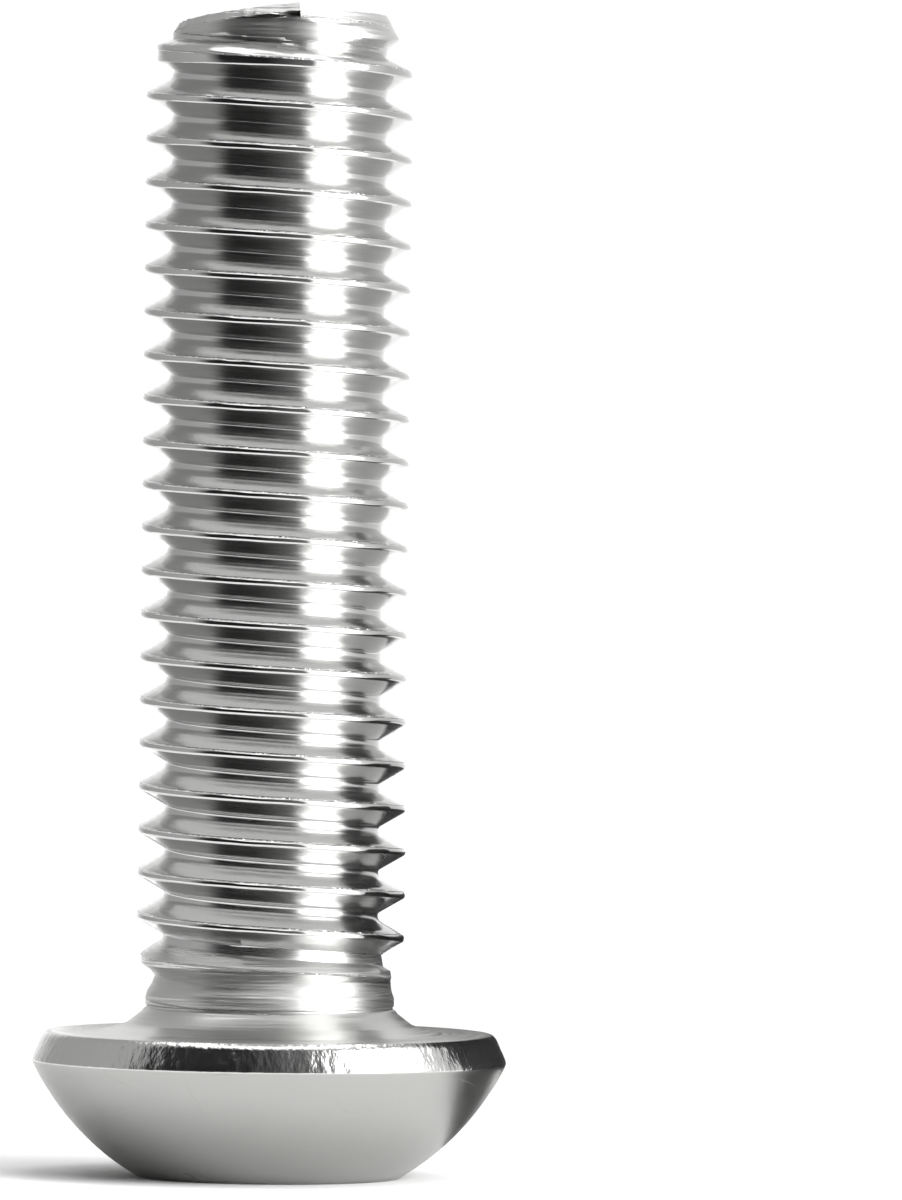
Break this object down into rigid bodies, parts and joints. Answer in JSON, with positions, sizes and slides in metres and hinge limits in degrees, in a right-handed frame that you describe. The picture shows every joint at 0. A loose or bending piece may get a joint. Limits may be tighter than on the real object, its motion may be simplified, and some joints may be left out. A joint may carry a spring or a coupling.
{
  "type": "button head screw",
  "caption": "Button head machine screw with a hexagon socket, a domed low head, a short plain neck and a rolled thread along the whole shank, in bright stainless steel.",
  "frame": {"origin": "on the screw's axis, in the plane of the crown of the head, which is the flat ring it stands on", "axes": "+Z along the axis from the head towards the end of the thread; the crown is at z = 0, the bearing face at z = 4.2 mm and the end at z = 34 mm; two of the six socket walls face along X"},
  "size_m": [0.0138, 0.0138, 0.034],
  "materials": {
    "stainless_steel": "bright stainless steel: satin tumbled head, smooth rolled thread"
  },
  "bodies": {
    "root": {"button_head_screw": "stainless_steel"}
  },
  "joints": []
}
